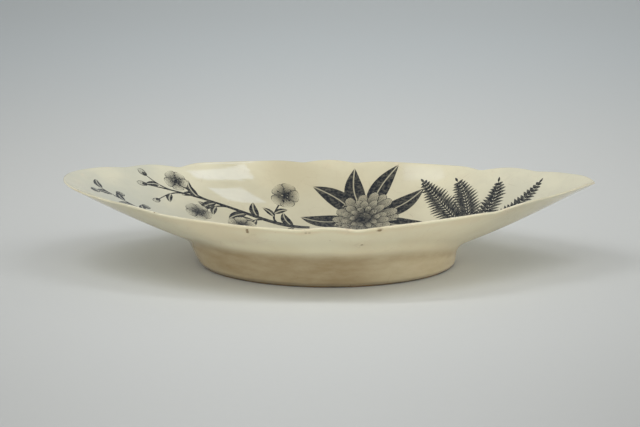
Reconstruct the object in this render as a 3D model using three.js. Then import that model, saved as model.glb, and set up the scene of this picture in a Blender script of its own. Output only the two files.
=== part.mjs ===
// Lobed oval dish in glazed earthenware: a moulded body, a foot ring stuck on with slip, and two
// coats of clear glaze. Millimetres, +Z up. The foot stands on z = 0 and the length runs along X,
// with the narrow end at +X and the blunt end at -X.
import * as THREE from "three";

// Finished outer sizes, measured over the glaze
const LENGTH = 260; // tip to tip
const WIDTH = 150; // across the middle lobes
const SIDE_HEIGHT = 35; // top of the lip at the middle of a long side
const END_HEIGHT = 42; // top of the lip at the tips
const END_SWEEP = 2.55; // power of the lip's rise: higher keeps the sides level for longer

// Plan of the lip: each quarter is one cubic curve, and these are its handles
const NARROW_END_REACH = 15; // how squarely the narrow tip is cut
const NARROW_SIDE_REACH = 54; // how far the side runs straight towards the narrow tip
const BLUNT_END_REACH = 44; // how squarely the blunt tip is cut
const BLUNT_SIDE_REACH = 43; // how far the side runs straight towards the blunt tip

// Lobes: scoops cut the lip into twelve lobes, three notches to each quarter
const MIDDLE_LOBE = 28.5; // length of the small lobe at the middle of each side
const MIDDLE_NOTCH_DEPTH = 1.7;
const LONG_LOBE_FROM_TIP = 50; // where the long lobe stops, measured back from the tip
const LONG_NOTCH_DEPTH = 3;
const END_LOBE_FROM_TIP = 24.5; // where the end lobe starts, measured back from the tip
const END_NOTCH_DEPTH = 1.5;
const NOTCH_REACH = 14; // half the length of lip that one scoop takes

// Inside of the dish
const FLOOR_HEIGHT = 9.4; // top of the glaze on the flat floor
const FLOOR_LENGTH = 84;
const FLOOR_WIDTH = 56;
const SIDE_SLOPE = 39; // degrees of the wall at the lip, middle of a side
const END_SLOPE = 26.5; // degrees of the wall at the lip, tip of an end
const FLOOR_EASE = 0.14; // share of the wall's run that eases out of the floor
const LIP_EASE = 0.4; // share of the wall's run that settles into the lip's slope

// Thicknesses
const BASE = 4.6; // clay under the floor
const LIP = 2.4; // finished lip, over the glaze
const GLAZE = 0.25;
const SLIP = 0.4; // joint between the foot ring and the body

// Foot ring
const FOOT_LENGTH = 125; // over the outside of the foot's lower end
const FOOT_WIDTH = 99;
const FOOT_BAND = 5; // thickness of the ring at its lower end
const FOOT_LEAN = 16; // degrees that the outer wall leans out, going up
const RECESS_LEAN = 6; // degrees that the recess wall leans in, going up
const FOOT_ROUNDING = 0.8; // bevel on both edges of the standing face
const BARE_EDGE = 1.6; // height up to which the foot is wiped clean of glaze
const OUTER_COVE = 4.5; // slip smoothed into the corner outside the foot
const INNER_COVE = 3; // slip smoothed into the corner inside the foot
const COVE_LIMIT = 0.6; // most of the bare foot wall that a cove may cover

// Facets
const LOBE_STEPS = [5, 6, 6, 6, 5, 14]; // small, long, middle, long, small and end lobe
const NOTCH_CROWDING = 0.5; // 0 spaces the steps of a lobe evenly, 1 draws them to its notches
const WALL_STATIONS = [0, 0.18, 0.36, 0.54, 0.72, 0.87, 1];
const FLOOR_STATION = -0.45; // one ring on the floor: -1 is its centre, 0 its edge
const OUTSIDE_STEPS = 4;
const LIP_STEPS = 3;
const OUTER_COVE_STEPS = 3;
const INNER_COVE_STEPS = 2;
const UNDERSIDE_SHARE = 0.5; // one ring under the base, this far from its centre to the inner cove
const NOTCH_FADE = 0.3; // share of the wall that a notch bends
const SOLVE_STEPS = 40;
const DIFFERENCE = 1e-3;

// Finishes
const BISCUIT = { color: 0xd6cba6, roughness: 0.85, metalness: 0 };
const BARE_FOOT = { color: 0xb7a27a, roughness: 0.85, metalness: 0 };
const FIRED_SLIP = { color: 0xcbbb92, roughness: 0.85, metalness: 0 };
const CREAM_GLAZE = { color: 0xe2dabb, roughness: 0.12, metalness: 0 };
const STAINED_GLAZE = { color: 0xd9cfae, roughness: 0.15, metalness: 0 };

const radians = THREE.MathUtils.degToRad;
const lerp = THREE.MathUtils.lerp;
const bodyLip = LIP - 2 * GLAZE;
const floorTop = FLOOR_HEIGHT - GLAZE;

// Half sizes of the inner edge of the clay lip, from the finished sizes
function lipInset(slope) {
  return GLAZE + (bodyLip / 2) * (1 + Math.sin(radians(slope)));
}
const halfLength = LENGTH / 2 - lipInset(END_SLOPE);
const halfWidth = WIDTH / 2 - lipInset(SIDE_SLOPE);

// Plan of the lip as a closed path, counterclockwise from the narrow tip
function lipQuarter(end, side, endReach, sideReach) {
  return new THREE.CubicBezierCurve(
    new THREE.Vector2(end, 0),
    new THREE.Vector2(end, Math.sign(side) * endReach),
    new THREE.Vector2(Math.sign(end) * sideReach, side),
    new THREE.Vector2(0, side),
  );
}
function reversed(curve) {
  return new THREE.CubicBezierCurve(curve.v3, curve.v2, curve.v1, curve.v0);
}
const narrowBack = lipQuarter(halfLength, halfWidth, NARROW_END_REACH, NARROW_SIDE_REACH);
const bluntBack = lipQuarter(-halfLength, halfWidth, BLUNT_END_REACH, BLUNT_SIDE_REACH);
const bluntFront = lipQuarter(-halfLength, -halfWidth, BLUNT_END_REACH, BLUNT_SIDE_REACH);
const narrowFront = lipQuarter(halfLength, -halfWidth, NARROW_END_REACH, NARROW_SIDE_REACH);
const lipPath = new THREE.CurvePath();
for (const quarter of [narrowBack, reversed(bluntBack), bluntFront, reversed(narrowFront)]) {
  lipPath.add(quarter);
}
const perimeter = lipPath.getLength();

// Solves rises(u) = 0 between low and high for a function that rises through zero
function solve(rises, low, high) {
  for (let step = 0; step < SOLVE_STEPS; step += 1) {
    const middle = (low + high) / 2;
    if (rises(middle) < 0) {
      low = middle;
    } else {
      high = middle;
    }
  }
  return (low + high) / 2;
}

// Notches of one quarter, by their distance from the middle of the dish
const notchKinds = [
  { along: MIDDLE_LOBE / 2, depth: MIDDLE_NOTCH_DEPTH },
  { along: LENGTH / 2 - LONG_LOBE_FROM_TIP, depth: LONG_NOTCH_DEPTH },
  { along: LENGTH / 2 - END_LOBE_FROM_TIP, depth: END_NOTCH_DEPTH },
];

// Places of all the notches along the lip, as shares of its length from the narrow tip
function notchPlaces() {
  const quarterEnds = lipPath.getCurveLengths().map((length) => length / perimeter);
  const places = [];
  quarterEnds.forEach((end, index) => {
    const start = index === 0 ? 0 : quarterEnds[index - 1];
    const outward = index % 2 === 1 ? 1 : -1;
    for (const { along, depth } of notchKinds) {
      const distance = (u) => outward * (Math.abs(lipPath.getPoint(u).x) - along);
      places.push({ place: solve(distance, start, end), depth });
    }
  });
  return places.sort((one, other) => one.place - other.place);
}
const notches = notchPlaces();

// How far the lip is drawn back at a place on its length
function notchAt(place) {
  let deepest = 0;
  for (const notch of notches) {
    const away = Math.abs(place - notch.place);
    const distance = Math.min(away, 1 - away) * perimeter;
    const rise = Math.max(0, 1 - distance / NOTCH_REACH);
    deepest = Math.max(deepest, notch.depth * rise * rise);
  }
  return deepest;
}

// Places round the dish, lobe by lobe, closest together at the notches
function placesRound() {
  const places = [];
  notches.forEach((notch, index) => {
    const last = index === notches.length - 1;
    const next = last ? notches[0].place + 1 : notches[index + 1].place;
    const steps = LOBE_STEPS[index % LOBE_STEPS.length];
    for (let step = 0; step < steps; step += 1) {
      const even = step / steps;
      const crowded = (1 - Math.cos(Math.PI * even)) / 2;
      places.push(lerp(notch.place, next, lerp(even, crowded, NOTCH_CROWDING)) % 1);
    }
  });
  return places;
}

// One upright section of the dish: from the floor's edge straight out to the lip
function section(place) {
  const lip = lipPath.getPoint(place);
  const angle = Math.atan2(lip.y / halfWidth, lip.x / halfLength);
  const across = Math.sin(angle) ** 2;
  const foot = new THREE.Vector2(
    (FLOOR_LENGTH / 2) * Math.cos(angle),
    (FLOOR_WIDTH / 2) * Math.sin(angle),
  );
  const run = foot.distanceTo(lip);
  const slope = radians(lerp(END_SLOPE, SIDE_SLOPE, across));
  const rise = Math.abs(lip.x / halfLength) ** END_SWEEP;
  const top = lerp(SIDE_HEIGHT, END_HEIGHT, rise) - GLAZE - (bodyLip / 2) * (1 - Math.cos(slope));
  const wall = new THREE.CubicBezierCurve(
    new THREE.Vector2(0, floorTop),
    new THREE.Vector2(run * FLOOR_EASE, floorTop),
    new THREE.Vector2(run * (1 - LIP_EASE), top - run * LIP_EASE * Math.tan(slope)),
    new THREE.Vector2(run, top),
  );
  const outward = lip.clone().sub(foot).divideScalar(run);
  return { foot, outward, wall, slope, notch: notchAt(place) };
}
const sections = placesRound().map(section);
const count = sections.length;

// Point on the inside face. Station -1 is the floor's centre, 0 the floor's edge and 1 the lip.
function insideAt(index, station) {
  const { foot, outward, wall, slope, notch } = sections[(index + count) % count];
  if (station <= 0) {
    return new THREE.Vector3(foot.x * (1 + station), foot.y * (1 + station), floorTop);
  }
  const point = wall.getPoint(Math.min(station, 1));
  const bend = Math.max(0, (station - 1 + NOTCH_FADE) / NOTCH_FADE) ** 2;
  const reach = point.x - notch * bend * Math.cos(slope);
  const height = point.y - notch * bend * Math.sin(slope);
  return new THREE.Vector3(foot.x + outward.x * reach, foot.y + outward.y * reach, height);
}

// Upward normal of the inside face
function insideNormal(index, station) {
  if (station <= 0) {
    return new THREE.Vector3(0, 0, 1);
  }
  const inner = Math.max(station - DIFFERENCE, DIFFERENCE);
  const outer = Math.min(station + DIFFERENCE, 1);
  const out = insideAt(index, outer).sub(insideAt(index, inner));
  const round = insideAt(index + 1, station).sub(insideAt(index - 1, station));
  return out.cross(round).normalize();
}

// Point on the outer face: the clay thins steadily from the floor to the lip
function outsideAt(index, station) {
  const thickness = lerp(BASE, bodyLip, Math.max(0, station));
  return insideAt(index, station).addScaledVector(insideNormal(index, station), -thickness);
}

// A ring is one point for each section
function ringOf(pointAt) {
  return sections.map((unused, index) => pointAt(index));
}

// Oval wall of the foot, leaning with height: half sizes at the bottom and growth per millimetre
const outerWall = { long: FOOT_LENGTH / 2, wide: FOOT_WIDTH / 2, grow: Math.tan(radians(FOOT_LEAN)) };
const recessWall = {
  long: FOOT_LENGTH / 2 - FOOT_BAND,
  wide: FOOT_WIDTH / 2 - FOOT_BAND,
  grow: -Math.tan(radians(RECESS_LEAN)),
};
function wallOval(wall, height, proud) {
  return { long: wall.long + wall.grow * height + proud, wide: wall.wide + wall.grow * height + proud };
}

// Station at which the outer face of the body crosses a foot wall that is moved out by proud
function crossing(index, wall, proud) {
  const beyond = (station) => {
    const point = outsideAt(index, station);
    const oval = wallOval(wall, point.z, proud);
    return (point.x / oval.long) ** 2 + (point.y / oval.wide) ** 2 - 1;
  };
  return solve(beyond, -1, 1);
}

// Point on a foot wall at a height, in line with a point of the body above it
function onWall(wall, above, height) {
  const seat = wallOval(wall, above.z, 0);
  const oval = wallOval(wall, height, 0);
  return new THREE.Vector3((above.x * oval.long) / seat.long, (above.y * oval.wide) / seat.wide, height);
}

// Concave corner between the body and a foot wall, as rings from the body down to the wall
function coveRings(bodyEdge, corner, wallEdge, steps) {
  const rings = [];
  for (let step = 1; step < steps; step += 1) {
    rings.push(ringOf((index) => {
      const curve = new THREE.QuadraticBezierCurve3(bodyEdge[index], corner[index], wallEdge[index]);
      return curve.getPoint(step / steps);
    }));
  }
  return rings;
}

// Everything on one wall of the foot, from the body's outer face down to the standing face.
// Away from the clay of the foot is outwards on the outer wall, 1, and inwards on the recess, -1.
function footWall(wall, cove, coveSteps, away) {
  const stations = sections.map((unused, index) => crossing(index, wall, 0));
  const edgeStations = sections.map((unused, index) => crossing(index, wall, away * cove));
  const corner = ringOf((index) => outsideAt(index, stations[index]));
  const bodyEdge = ringOf((index) => outsideAt(index, edgeStations[index]));
  const seat = ringOf((index) => onWall(wall, corner[index], corner[index].z - SLIP));
  const wallEdge = ringOf((index) => {
    const bare = corner[index].z - SLIP - BARE_EDGE;
    return onWall(wall, corner[index], seat[index].z - Math.min(cove, bare * COVE_LIMIT));
  });
  const glazeLine = ringOf((index) => onWall(wall, corner[index], BARE_EDGE));
  const bevelTop = ringOf((index) => onWall(wall, corner[index], FOOT_ROUNDING));
  const standing = ringOf((index) => {
    const flat = wallOval(wall, 0, -away * FOOT_ROUNDING);
    const top = wallOval(wall, FOOT_ROUNDING, 0);
    const { x, y } = bevelTop[index];
    return new THREE.Vector3((x * flat.long) / top.long, (y * flat.wide) / top.wide, 0);
  });
  const coved = coveRings(bodyEdge, corner, wallEdge, coveSteps);
  return { edgeStations, corner, bodyEdge, seat, wallEdge, glazeLine, bevelTop, standing, coved };
}
const outer = footWall(outerWall, OUTER_COVE, OUTER_COVE_STEPS, 1);
const recess = footWall(recessWall, INNER_COVE, INNER_COVE_STEPS, -1);

// Inside face and lip of the clay, from the centre of the floor outwards
const floorCentre = [new THREE.Vector3(0, 0, floorTop)];
const insideRings = [FLOOR_STATION, ...WALL_STATIONS].map((station) => {
  return ringOf((index) => insideAt(index, station));
});
function lipRing(turn) {
  return ringOf((index) => {
    const inner = insideAt(index, 1);
    const rim = outsideAt(index, 1);
    const middle = inner.clone().add(rim).divideScalar(2);
    const spoke = inner.clone().sub(middle);
    const { outward, slope } = sections[index];
    const run = Math.cos(slope);
    const crown = new THREE.Vector3(outward.x * run, outward.y * run, Math.sin(slope));
    crown.multiplyScalar(spoke.length());
    return middle.addScaledVector(spoke, Math.cos(turn)).addScaledVector(crown, Math.sin(turn));
  });
}
const lipRings = [];
for (let step = 1; step < LIP_STEPS; step += 1) {
  lipRings.push(lipRing((Math.PI * step) / LIP_STEPS));
}

// Outer face of the clay, from the lip in to the outer cove, and the underside within the foot
const flankRings = [];
for (let step = 0; step < OUTSIDE_STEPS; step += 1) {
  const share = step / OUTSIDE_STEPS;
  flankRings.push(ringOf((index) => outsideAt(index, lerp(1, outer.edgeStations[index], share))));
}
const underCentre = [new THREE.Vector3(0, 0, floorTop - BASE)];
const underRing = ringOf((index) => {
  return outsideAt(index, lerp(-1, recess.edgeStations[index], UNDERSIDE_SHARE));
});

// Joins rings into one closed skin. A ring of one point is a pole. Each four-sided facet is split
// along its shorter diagonal, so that two pieces that share rings share their facets too.
function skin(rings, loops) {
  const positions = [];
  const triangles = [];
  const starts = rings.map((ring) => {
    const start = positions.length / 3;
    ring.forEach((point) => positions.push(point.x, point.y, point.z));
    return start;
  });
  const bands = loops ? rings.length : rings.length - 1;
  for (let band = 0; band < bands; band += 1) {
    const following = (band + 1) % rings.length;
    const [here, there] = [rings[band], rings[following]];
    for (let index = 0; index < count; index += 1) {
      const next = (index + 1) % count;
      const a = starts[band] + (here.length === 1 ? 0 : index);
      const b = starts[band] + (here.length === 1 ? 0 : next);
      const c = starts[following] + (there.length === 1 ? 0 : next);
      const d = starts[following] + (there.length === 1 ? 0 : index);
      if (a === b) {
        triangles.push(a, d, c);
      } else if (c === d) {
        triangles.push(a, c, b);
      } else if (here[index].distanceTo(there[next]) < here[next].distanceTo(there[index])) {
        triangles.push(a, c, b, a, d, c);
      } else {
        triangles.push(a, d, b, b, d, c);
      }
    }
  }
  const geometry = new THREE.BufferGeometry();
  geometry.setAttribute("position", new THREE.Float32BufferAttribute(positions, 3));
  geometry.setIndex(triangles);
  geometry.computeVertexNormals();
  return geometry;
}

// The same rings lifted off by a thickness, for a coat that lies on them
function lifted(rings, thickness) {
  return rings.map((ring, level) => {
    if (ring.length === 1) {
      return [ring[0].clone().add(new THREE.Vector3(0, 0, thickness))];
    }
    const before = rings[Math.max(level - 1, 0)];
    const after = rings[Math.min(level + 1, rings.length - 1)];
    return ring.map((point, index) => {
      const start = before.length === 1 ? before[0] : before[index];
      const along = after[index].clone().sub(start);
      const round = ring[(index + 1) % count].clone().sub(ring[(index + count - 1) % count]);
      return point.clone().addScaledVector(along.cross(round).normalize(), thickness);
    });
  });
}

// What each coat of glaze lies on
const glazedOutside = [
  floorCentre,
  ...insideRings,
  ...lipRings,
  ...flankRings,
  outer.bodyEdge,
  ...outer.coved,
  outer.wallEdge,
  outer.glazeLine,
];
const glazedRecess = [
  underCentre,
  underRing,
  recess.bodyEdge,
  ...recess.coved,
  recess.wallEdge,
  recess.glazeLine,
];

// The pieces
function mouldedBody() {
  return skin([
    floorCentre,
    ...insideRings,
    ...lipRings,
    ...flankRings,
    outer.bodyEdge,
    outer.corner,
    recess.corner,
    recess.bodyEdge,
    underRing,
    underCentre,
  ], false);
}
function footRing() {
  return skin([
    recess.wallEdge,
    recess.seat,
    outer.seat,
    outer.wallEdge,
    outer.glazeLine,
    outer.bevelTop,
    outer.standing,
    recess.standing,
    recess.bevelTop,
    recess.glazeLine,
  ], true);
}
function lutingSlip() {
  return skin([
    recess.bodyEdge,
    recess.corner,
    outer.corner,
    outer.bodyEdge,
    ...outer.coved,
    outer.wallEdge,
    outer.seat,
    recess.seat,
    recess.wallEdge,
    ...recess.coved.toReversed(),
  ], true);
}
function glazeCoat() {
  return skin([...lifted(glazedOutside, GLAZE), ...glazedOutside.toReversed()], false);
}
function recessGlaze() {
  return skin([...glazedRecess, ...lifted(glazedRecess, -GLAZE).toReversed()], false);
}

function piece(name, geometry, finish) {
  const mesh = new THREE.Mesh(geometry, new THREE.MeshStandardMaterial(finish));
  mesh.name = name;
  return mesh;
}

const dish = new THREE.Group();
dish.add(piece("moulded_body", mouldedBody(), BISCUIT));
dish.add(piece("foot_ring", footRing(), BARE_FOOT));
dish.add(piece("luting_slip", lutingSlip(), FIRED_SLIP));
dish.add(piece("glaze_coat", glazeCoat(), CREAM_GLAZE));
dish.add(piece("recess_glaze", recessGlaze(), STAINED_GLAZE));

export default dish;
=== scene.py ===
"""Lobed oval dish in glazed earthenware, with a printed decoration inside, on a studio stage."""
import math
from types import SimpleNamespace

import bpy
import numpy as np
from bpy.props import FloatProperty, FloatVectorProperty, PointerProperty
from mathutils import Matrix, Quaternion, Vector
from mathutils.bvhtree import BVHTree


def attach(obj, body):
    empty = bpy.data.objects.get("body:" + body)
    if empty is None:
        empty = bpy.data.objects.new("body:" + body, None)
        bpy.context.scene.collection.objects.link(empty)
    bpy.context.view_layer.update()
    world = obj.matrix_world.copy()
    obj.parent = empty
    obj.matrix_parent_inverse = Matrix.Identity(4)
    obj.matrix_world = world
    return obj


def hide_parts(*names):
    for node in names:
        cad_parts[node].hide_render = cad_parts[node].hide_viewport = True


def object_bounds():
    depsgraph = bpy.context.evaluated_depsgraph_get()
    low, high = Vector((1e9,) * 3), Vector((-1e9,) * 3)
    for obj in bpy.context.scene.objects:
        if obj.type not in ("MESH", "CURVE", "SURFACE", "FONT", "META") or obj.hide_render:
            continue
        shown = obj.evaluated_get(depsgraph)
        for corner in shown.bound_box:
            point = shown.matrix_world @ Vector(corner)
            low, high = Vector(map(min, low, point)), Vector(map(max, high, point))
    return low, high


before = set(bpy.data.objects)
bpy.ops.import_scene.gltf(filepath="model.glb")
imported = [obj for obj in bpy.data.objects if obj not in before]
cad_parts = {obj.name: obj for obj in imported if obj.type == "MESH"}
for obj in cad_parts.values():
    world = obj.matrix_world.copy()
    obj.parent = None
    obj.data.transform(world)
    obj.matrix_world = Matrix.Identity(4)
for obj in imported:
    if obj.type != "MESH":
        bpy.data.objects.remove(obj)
cad_low, cad_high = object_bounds()

bl_info = {
    "name": "Lobed Oval Dish",
    "version": (1, 0, 0),
    "blender": (4, 5, 0),
    "location": "View3D > Sidebar > Dish",
    "description": "Builds a footed oval dish with its clay, glaze, print and studio stage",
    "category": "Object",
}

MM = 0.001

# Fineness of the meshes
SECTIONS = 432  # places round the dish
PATH_SAMPLES = 1500  # points on each quarter of the lip's plan
FLOOR_RINGS = 7
WALL_RINGS = 34
CLAY_WALL_RINGS = 16
LIP_RINGS = 12
FLANK_RINGS = 22
COVE_RINGS = 9
FOOT_RINGS = 6
UNDERSIDE_RINGS = 8
SOLVE_STEPS = 40  # halvings in search of a place on a section
STATION_STEP = 1e-3  # how far apart the two points lie that give a normal

# Shape
NOTCH_FADE = 0.3  # share of the wall that a notch bends
COVE_LIMIT = 0.6  # most of the bare foot wall that a cove may cover

# Hand work: slow waves in the lip and in the edge of the glaze
HAND_SEED = 11
LIP_WAVES = (2, 3, 5, 7)
GLAZE_EDGE_WAVES = (3, 7, 11, 19, 31)
# Middle and half the length of the lobe by the narrow end, as shares of half the dish
NARROW_LOBE = 0.74
NARROW_LOBE_REACH = 0.24
NARROW_TIP = 0.955  # where the lip starts to turn down to the narrow tip, as such a share
# Where the near lip lies higher or lower than the far one: place, half the length and rise in millimetres
NEAR_LIP_RISES = ((-96, 31, 1.15), (-33, 25, -0.45), (0, 13, 0.65), (50, 38, 0.85))

# Glaze
GLAZE_IOR = 1.6
INK_IOR = 1.42  # of the glaze over the print
EDGE_THINNING = (0.85, 0.2)  # shares of the glaze's thickness on the last two rings of a coat
FILM_FADE = (-90 * MM, 50 * MM)  # where the film of use on the inside thins towards the narrow end
FILM_SHARES = (1.1, 0.82)  # of that film, before and after
COOL_FADE = (45 * MM, 100 * MM)  # where it greys, on the way to both tips
# The outside darkens towards both tips: handling wear, and painted shade on the ends' flanks and lip
END_HANDLING_AND_SHADE_FADE = (55 * MM, 105 * MM)  # where handling dulls the outside, on the way to both tips
# Where the foot's darkening, stain of use and painted shade under the dish, creeps above or stays below the
# crease: place, width and rise in millimetres
FOOT_DARKENING_TIDES = ((-60, 14, 2.3), (0, 45, -1.8))
FOOT_DARKENING_EDGE = 4 * MM  # half the height that it fades over
# The foot's darkening thins towards the narrow end: painted light on that end of the foot
FOOT_DARKENING_THINNING = (2 * MM, 45 * MM)  # where it thins towards the narrow end
FOOT_DARKENING_LEAST = 0.68  # what is left of it there
LIP_WEAR = (0.93, 0.14)  # from this share of the inside over the lip to this share of the flank
# Strength of the darkening under the lip, a warmer tint with painted shade, and in the crease, dirt with
# painted shade: shares of the way down, and the strength at each
BRIM_TINT_AND_SHADE = ((0, 0.08, 0.16, 0.34), (0, 1, 1, 0))  # down the flank
CREASE_DIRT_AND_SHADE = ((0.5, 0.9, 1), (0, 1, 0.8))  # down the cove
CREASE_END = 0.22  # share of the foot's wall that it fades out on
RECESS_COVE_DARKENING = 0.6  # in the middle of the cove inside the foot
RECESS_WALL_DARKENING = (0.3, 1)  # at the top and the bottom of the wall there

# Stage
SENSOR_WIDTH = 36  # millimetres
WALL_TOP = (0.2, 0.85)  # where the room's walls start and stop to fade into the ceiling
FRONT_TOP = (0.05, 0.45)  # the same for the front wall
SIDE_LAMP = (0.09, 0.5)  # width and depth
SIDE_LAMP_BACK = -0.07  # how far back it hangs, here a little in front of the dish's middle
SOFT_BOX = (0.5, 0.4)
SOFT_BOX_BACK = -0.2
# Small strips over the dish that its far wall mirrors: place, width, depth, turn in degrees and
# share of the glint's radiance
GLINT_STRIPS = (
    ((-0.024, 0.0825, 0.15), 0.019, 0.0065, -22, 1.0),
    ((-0.018, 0.096, 0.15), 0.013, 0.011, -45, 0.8),
    ((0.0072, 0.084, 0.15), 0.0105, 0.0036, 8, 0.5),
)
PAPER_SIDES = 96
PAPER_RADII = (0.3, 1.0, 3.0, 8.0)  # of its rings, in metres
# The paper carries a painted pool of lamp light, lightest in a band along the view, which widens with the
# distance and leans a little
LIGHT_POOL_GROWTH = 0.163
LIGHT_POOL_HALF = 0.149  # half its width under the dish
LIGHT_POOL_LEAST = 0.06
LIGHT_POOL_LEAN = -0.05
LIGHT_POOL_FALL = 0.14  # how fast the paper darkens beside it
LIGHT_POOL_DARKEST = 0.78
# Painted shade on the paper in front of the dish and painted falloff behind it: from, to, and the shade at
# each
NEAR_PAINTED_SHADE = (-0.26, 0.02, 0.81, 0.965)
FAR_PAINTED_FALLOFF = (0.3, 1.1, 1.0, 0.96)
# Where the paper far behind the dish takes its painted cool light
FAR_COOL_LIGHT_START = (0.1, 0.8)  # where its far colour sets in

# The print: its film lies on the glaze, and its strokes are drawn in plan in millimetres
PRINT_SEED = 5
FILM_LIFT = 0.02 * MM  # of its top over the glaze
FILM_LAYER = 0.005 * MM  # of one layer of strokes over the next lower one
FILM_SINK = 0.04 * MM  # of its underside into the glaze
FILM_CORNER = math.radians(35)  # sharper edges than this are shaded sharp
STROKE_LEAST = 0.08  # least half-width of a stroke
STROKE_STEP = 1.3  # most that two rows of a stroke lie apart
STROKE_COLUMNS = 7
STROKE_TURNS = 5  # strokes of one layer take turns at this many heights
STEM_SAMPLES = 60  # points that measure a stem's length
STEM_ROWS = 4  # fewest rows of a stem
BLADE_ROWS = 9  # fewest rows of a blade
BLADE_END_ROWS = 4  # more rows for its two ends
RAY_HEIGHT = 0.1  # metres, well over the lip
SOLID = 1.3  # tone of solid ink
HATCH = 0.42  # half the distance between hatching lines
HATCH_SLANT = 1.2
NO_RIB = 9  # a distance from the rib that leaves a stroke plain
LEAF = (0.75, 1.0)  # powers of a pointed outline
PETAL = (0.9, 0.42)  # powers of an outline with a round end
ROUND = (0.5, 0.5)


def millimetres(name, description, value):
    return FloatProperty(name=name, description=description, default=value * MM, unit="LENGTH", precision=5)


def degrees(name, description, value):
    return FloatProperty(name=name, description=description, default=math.radians(value), subtype="ANGLE")


def share(name, description, value):
    return FloatProperty(name=name, description=description, default=value, subtype="FACTOR", min=0, max=1)


def number(name, description, value):
    return FloatProperty(name=name, description=description, default=value)


def colour(name, description, value):
    return FloatVectorProperty(
        name=name, description=description, default=value, subtype="COLOR", size=3, min=0, max=1
    )


class DishSize(bpy.types.PropertyGroup):
    """Sizes of the dish, over the glaze unless they say otherwise."""

    length: millimetres("Length", "Tip to tip", (cad_high.x - cad_low.x) / MM)
    width: millimetres("Width", "Across the middle lobes", (cad_high.y - cad_low.y) / MM)
    end_height: millimetres("End height", "Top of the lip at the tips", 42)
    side_height: millimetres("Side height", "Top of the lip at the middle of a side", 35)
    end_sweep: number("End sweep", "Power of the lip's rise to the tips", 2.55)
    narrow_end_reach: millimetres("Narrow end reach", "How squarely the narrow tip is cut", 15)
    narrow_side_reach: millimetres("Narrow side reach", "How far the side runs to the narrow tip", 54)
    blunt_end_reach: millimetres("Blunt end reach", "How squarely the blunt tip is cut", 44)
    blunt_side_reach: millimetres("Blunt side reach", "How far the side runs to the blunt tip", 43)
    middle_lobe: millimetres("Middle lobe", "Length of the small lobe at the middle of a side", 28.5)
    middle_notch: millimetres("Middle notch", "Depth of the notches beside the middle lobe", 1.7)
    long_lobe_from_tip: millimetres("Long lobe from tip", "Where the long lobe stops", 50)
    long_notch: millimetres("Long notch", "Depth of the notches at the ends of the long lobes", 3)
    end_lobe_from_tip: millimetres("End lobe from tip", "Where the end lobe starts", 24.5)
    end_notch: millimetres("End notch", "Depth of the notches beside the end lobes", 1.5)
    notch_reach: millimetres("Notch reach", "Half the length of lip that one scoop takes", 14)
    notch_rounding: millimetres("Notch rounding", "How softly the bottom of a scoop turns", 2.2)
    shallow_notch: share("Shallow notch", "Depth of the blunt end's front long notch, of the others'", 0.4)
    narrow_lobe_rise: millimetres("Narrow lobe rise", "How far the lobe by the narrow end stands up", 1.1)
    narrow_tip_droop: millimetres("Narrow tip droop", "How far the lip turns down at the narrow tip", 1.7)
    lip_unevenness: millimetres("Lip unevenness", "How far hand work lifts or drops the lip", 0.16)
    floor_height: millimetres("Floor height", "Top of the glaze on the floor", 9.4)
    floor_length: millimetres("Floor length", "Length of the flat floor", 84)
    floor_width: millimetres("Floor width", "Width of the flat floor", 56)
    side_slope: degrees("Side slope", "Slope of the wall at the middle of a side", 39)
    end_slope: degrees("End slope", "Slope of the wall at the tips", 26.5)
    narrow_sag: millimetres("Narrow sag", "How far the wall sags at the narrow end", 1.7)
    floor_ease: share("Floor ease", "Share of the wall that eases out of the floor", 0.14)
    lip_ease: share("Lip ease", "Share of the wall that settles into the lip's slope", 0.4)
    base: millimetres("Base", "Clay under the floor", 4.6)
    side_lip: millimetres("Side lip", "Thickness of the finished lip at the sides", 1.35)
    end_lip: millimetres("End lip", "Thickness of the finished lip at the tips", 0.9)
    glaze: millimetres("Glaze", "Thickness of the glaze", 0.25)
    slip: millimetres("Slip", "Joint between the foot and the body", 0.4)
    foot_length: millimetres("Foot length", "Over the lower end of the foot", 126)
    foot_width: millimetres("Foot width", "Over the lower end of the foot", 99)
    foot_band: millimetres("Foot band", "Thickness of the foot at its lower end", 5)
    foot_offset: millimetres("Foot offset", "How far the foot's middle lies along the dish", -0.9)
    foot_lean: degrees("Foot lean", "How far the outer wall leans out, going up", 16)
    foot_tilt: degrees("Foot tilt", "How far the whole foot leans to the narrow end, going up", -10)
    recess_lean: degrees("Recess lean", "How far the recess wall leans in, going up", 6)
    foot_rounding: millimetres("Foot rounding", "Rounding of the standing edge", 0.8)
    bare_edge: millimetres("Bare edge", "Height of the foot that is wiped clean of glaze", 0.9)
    glaze_edge_unevenness: millimetres("Glaze edge unevenness", "How far the wiped edge wanders", 0.12)
    side_cove: millimetres("Side cove", "Slip smoothed down the foot at the sides", 4.5)
    side_cove_reach: millimetres("Side cove reach", "How far that slip runs out under the body", 8)
    narrow_cove: millimetres("Narrow cove", "Slip smoothed into the corner at the narrow end", 4.5)
    blunt_cove: millimetres("Blunt cove", "Slip smoothed into the corner at the blunt end", 2)
    inner_cove: millimetres("Inner cove", "Slip smoothed into the corner inside the foot", 3)


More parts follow.
